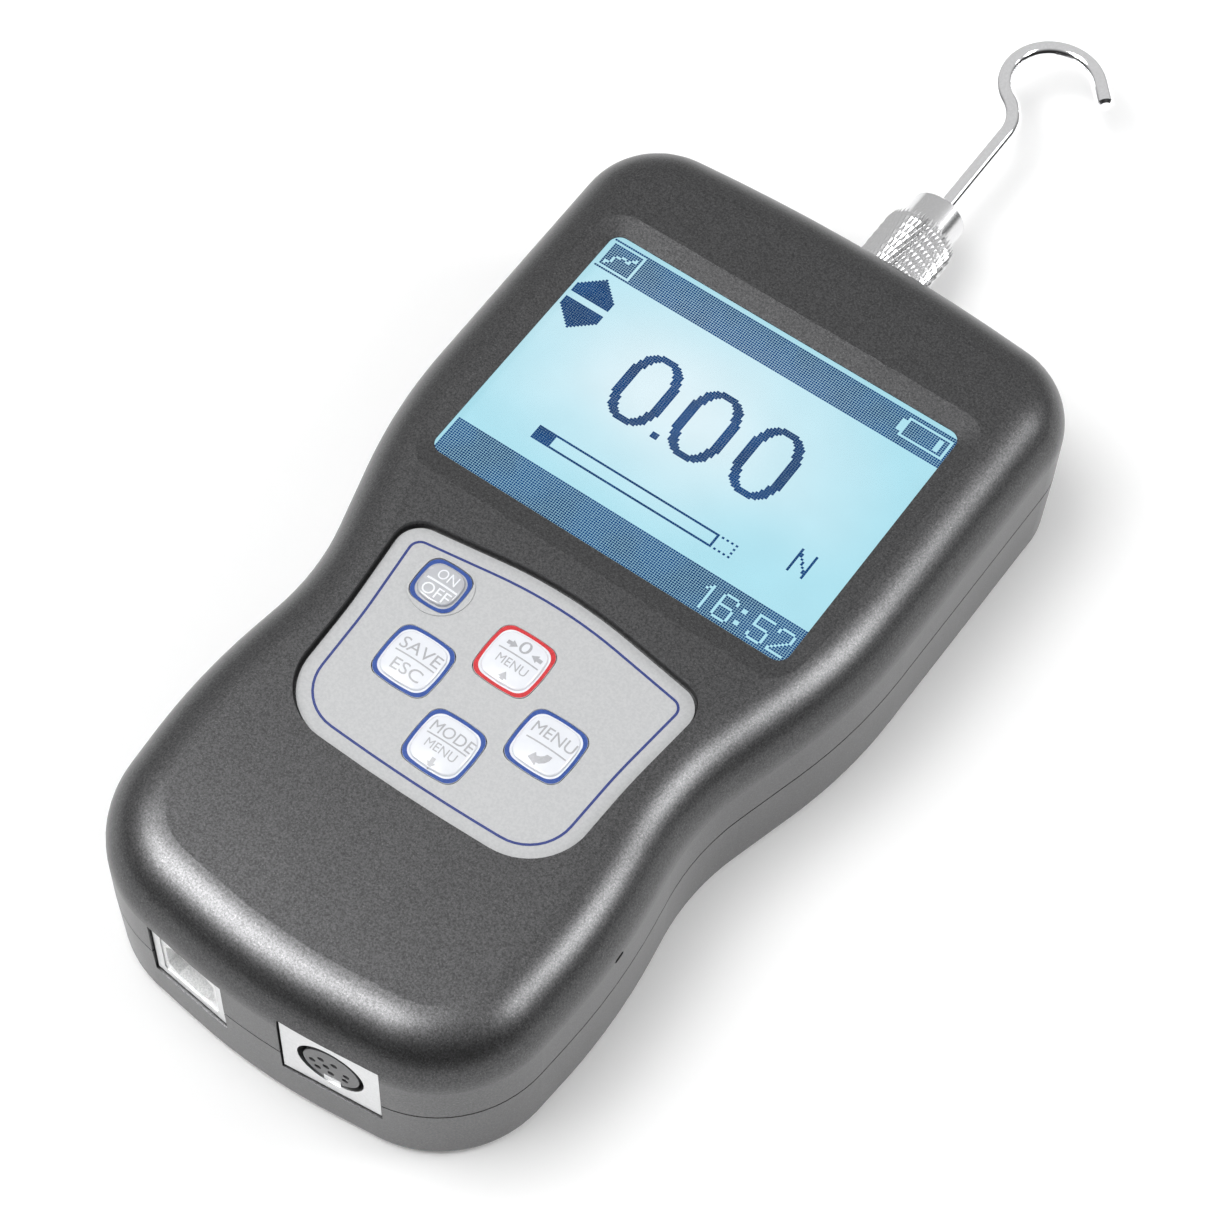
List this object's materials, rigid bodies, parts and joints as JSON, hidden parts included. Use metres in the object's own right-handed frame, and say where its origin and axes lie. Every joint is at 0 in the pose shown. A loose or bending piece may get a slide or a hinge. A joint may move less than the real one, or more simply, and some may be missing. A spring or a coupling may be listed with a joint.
{
  "type": "digital force gauge",
  "caption": "Handheld digital force gauge: waisted metal housing with a display, keys and data sockets, and a hook screwed on its measuring shaft.",
  "frame": {"origin": "centre of the flat back of the rear housing, midway along the housing's length", "axes": "+X to the right of the display, +Y along the measuring shaft towards the hook, +Z out of the display"},
  "size_m": [0.0796, 0.205, 0.0302],
  "materials": {
    "housing_paint": "fine-textured charcoal metallic coat on die-cast alloy",
    "window_pane": "clear, printed black border behind",
    "liquid_crystal": "glossy display glass with a pale cyan field",
    "backlight": "white light guide",
    "keypad_film": "satin grey-silver film with a printed blue border line",
    "key_cap": "satin white with printed frames and signs",
    "small_key_cap": "satin grey",
    "board": "green solder mask",
    "black_moulding": "matte black",
    "white_moulding": "matte white",
    "socket_steel": "bright tinned steel",
    "socket_shield": "bright tinned steel",
    "cells": "green sleeve with bare ends",
    "plate": "plain sheet",
    "beam": "machined",
    "foil": "amber gauge film",
    "steel": "turned steel",
    "hook_steel": "bright polished wire",
    "bush": "sintered bronze",
    "insert_brass": "turned brass",
    "black_screws": "black oxide",
    "bright_screws": "zinc plated"
  },
  "bodies": {
    "housing": {"front_housing": "housing_paint", "rear_housing": "housing_paint", "display_window": "window_pane", "display_glass": "liquid_crystal", "display_backlight": "backlight", "keypad_overlay": "keypad_film", "control_board": "board", "interface_board": "board", "key_switches": "black_moulding", "round_socket_insert": "black_moulding", "battery_cradle": "black_moulding", "display_frame": "black_moulding", "usb_socket_insert": "white_moulding", "usb_socket_shell": "socket_steel", "round_socket_shield": "socket_shield", "battery_cells": "cells", "chassis_plate": "plate", "load_cell_pad": "plate", "load_cell": "beam", "strain_gauges": "foil", "shaft_bush": "bush", "mount_inserts": "insert_brass", "housing_screws": "black_screws", "board_screws": "bright_screws", "load_cell_screws": "bright_screws", "chassis_screws": "bright_screws"},
    "shaft": {"measuring_shaft": "steel", "shaft_nuts": "steel"},
    "hook": {"hook_collar": "steel", "hook_wire": "hook_steel"},
    "key_on_off": {"key_on_off": "small_key_cap"},
    "key_save_escape": {"key_save_escape": "key_cap"},
    "key_zero": {"key_zero": "key_cap"},
    "key_mode": {"key_mode": "key_cap"},
    "key_menu": {"key_menu": "key_cap"}
  },
  "joints": [
    {"name": "shaft_load", "type": "slide", "parent": "housing", "child": "shaft", "axis": [0, 1, 0], "range_m": [-0.0002, 0.0002], "stiffness_N_per_m": 25000},
    {"name": "hook_turn", "type": "hinge", "parent": "shaft", "child": "hook", "pos_m": [0, 0.08, 0.0096], "axis": [0, 1, 0], "continuous": true},
    {"name": "key_on_off_press", "type": "slide", "parent": "housing", "child": "key_on_off", "axis": [0, 0, -1], "range_m": [0, 0.0004], "stiffness_N_per_m": 1500, "springref_m": -0.0004},
    {"name": "key_save_escape_press", "type": "slide", "parent": "housing", "child": "key_save_escape", "axis": [0, 0, -1], "range_m": [0, 0.0004], "stiffness_N_per_m": 1500, "springref_m": -0.0004},
    {"name": "key_zero_press", "type": "slide", "parent": "housing", "child": "key_zero", "axis": [0, 0, -1], "range_m": [0, 0.0004], "stiffness_N_per_m": 1500, "springref_m": -0.0004},
    {"name": "key_mode_press", "type": "slide", "parent": "housing", "child": "key_mode", "axis": [0, 0, -1], "range_m": [0, 0.0004], "stiffness_N_per_m": 1500, "springref_m": -0.0004},
    {"name": "key_menu_press", "type": "slide", "parent": "housing", "child": "key_menu", "axis": [0, 0, -1], "range_m": [0, 0.0004], "stiffness_N_per_m": 1500, "springref_m": -0.0004}
  ]
}
